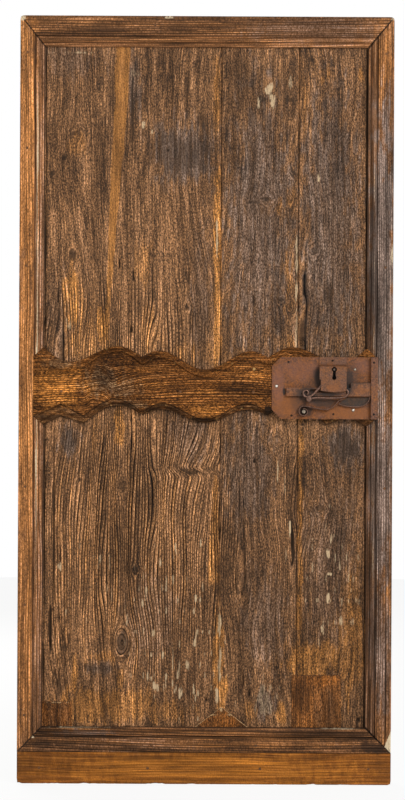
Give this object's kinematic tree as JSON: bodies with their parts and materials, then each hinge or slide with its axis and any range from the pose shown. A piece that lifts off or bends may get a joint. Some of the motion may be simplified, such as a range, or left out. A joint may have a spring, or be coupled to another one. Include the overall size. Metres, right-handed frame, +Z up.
{
  "type": "planked door leaf with a plate lock",
  "caption": "Old planked door leaf with a mitred moulded face frame, a wavy middle rail, strap hinges on the back and an open iron plate lock with a sliding bolt.",
  "frame": {"origin": "mouth of the lower hinge eye, on the axis that the leaf swings about", "axes": "+Z up along the hinge axis, +X from the hinge edge to the lock edge, front with the lock towards -Y"},
  "size_m": [0.9, 0.0907, 1.848],
  "materials": {
    "plank_wood": "weathered, waxed softwood with raised grain",
    "frame_wood": "worn, waxed softwood",
    "plinth_wood": "stained, waxed softwood",
    "patch_wood": "stained softwood repair",
    "rusty_iron": "matt brown rust",
    "dark_iron": "dark, worn iron",
    "bright_iron": "bare worn iron"
  },
  "bodies": {
    "leaf": {"plank_left": "plank_wood", "plank_middle": "plank_wood", "plank_right": "plank_wood", "stile_left": "frame_wood", "stile_right": "frame_wood", "top_rail": "frame_wood", "bottom_rail": "frame_wood", "middle_rail": "frame_wood", "plinth_board": "plinth_wood", "patch_wedge": "patch_wood", "patch_left": "patch_wood", "patch_right": "patch_wood", "frame_nails": "dark_iron", "lock_plate": "rusty_iron", "lock_front_strap": "rusty_iron", "keyhole_cover": "rusty_iron", "key_pin": "bright_iron", "bolt_guide_stud": "dark_iron", "bolt_spring": "dark_iron", "tumbler_pivot": "rusty_iron", "tumbler_spring": "dark_iron", "spring_stud": "bright_iron", "lock_nails": "dark_iron", "lock_screws": "bright_iron", "hinge_strap_upper": "dark_iron", "hinge_strap_lower": "dark_iron", "hinge_nails": "dark_iron"},
    "bolt": {"lock_bolt": "rusty_iron"},
    "tumbler": {"tumbler": "rusty_iron"}
  },
  "joints": [
    {"name": "bolt_throw", "type": "slide", "parent": "leaf", "child": "bolt", "axis": [1, 0, 0], "range_m": [0, 0.055]},
    {"name": "tumbler_lift", "type": "hinge", "parent": "leaf", "child": "tumbler", "pos_m": [0.6833, -0.0713, 0.66898], "axis": [0, 1, 0], "range_deg": [0, 4], "stiffness_Nm_per_rad": 1.2, "springref_deg": -5.73, "deforming": ["tumbler_spring"]}
  ]
}
